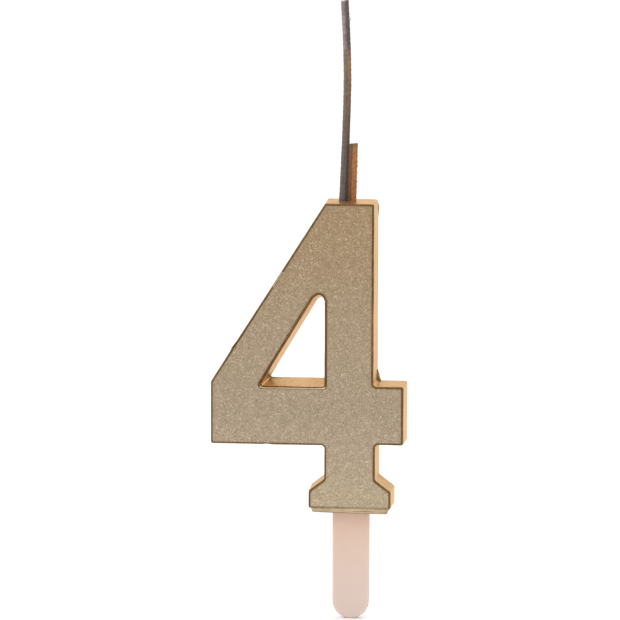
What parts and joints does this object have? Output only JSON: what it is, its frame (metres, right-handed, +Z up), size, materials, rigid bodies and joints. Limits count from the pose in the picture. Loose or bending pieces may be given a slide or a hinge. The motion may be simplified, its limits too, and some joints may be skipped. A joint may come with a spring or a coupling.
{
  "type": "number birthday candle",
  "caption": "Number candle, numeral four: wax casting with gold lacquer edges and a glitter front, a doubled wick on top and a flat plastic pick under the foot.",
  "frame": {"origin": "centre of the foot's underside, where the pick leaves the numeral", "axes": "+Z up the stem towards the wick, -Y out of the glitter front, +X towards the numeral's short right arm"},
  "size_m": [0.0438, 0.0092, 0.1397],
  "materials": {
    "wax": "cast paraffin wax",
    "gold_lacquer": "glossy gold lacquer film",
    "gold_glitter": "fine champagne gold glitter film",
    "wick_braid": "flat cotton braid, waxed and partly gilded",
    "gilded_braid": "cotton braid soaked with copper gold lacquer",
    "pick_plastic": "translucent pale pink moulded plastic"
  },
  "bodies": {
    "holder": {"pick": "pick_plastic"},
    "candle": {"wax_body": "wax", "gold_coat": "gold_lacquer", "glitter_face": "gold_glitter", "wick_core": "wick_braid", "wick": "wick_braid", "wick_tail": "gilded_braid"}
  },
  "joints": [
    {"name": "candle_lift", "type": "slide", "parent": "holder", "child": "candle", "axis": [0, 0, 1], "range_m": [0, 0.018]}
  ]
}
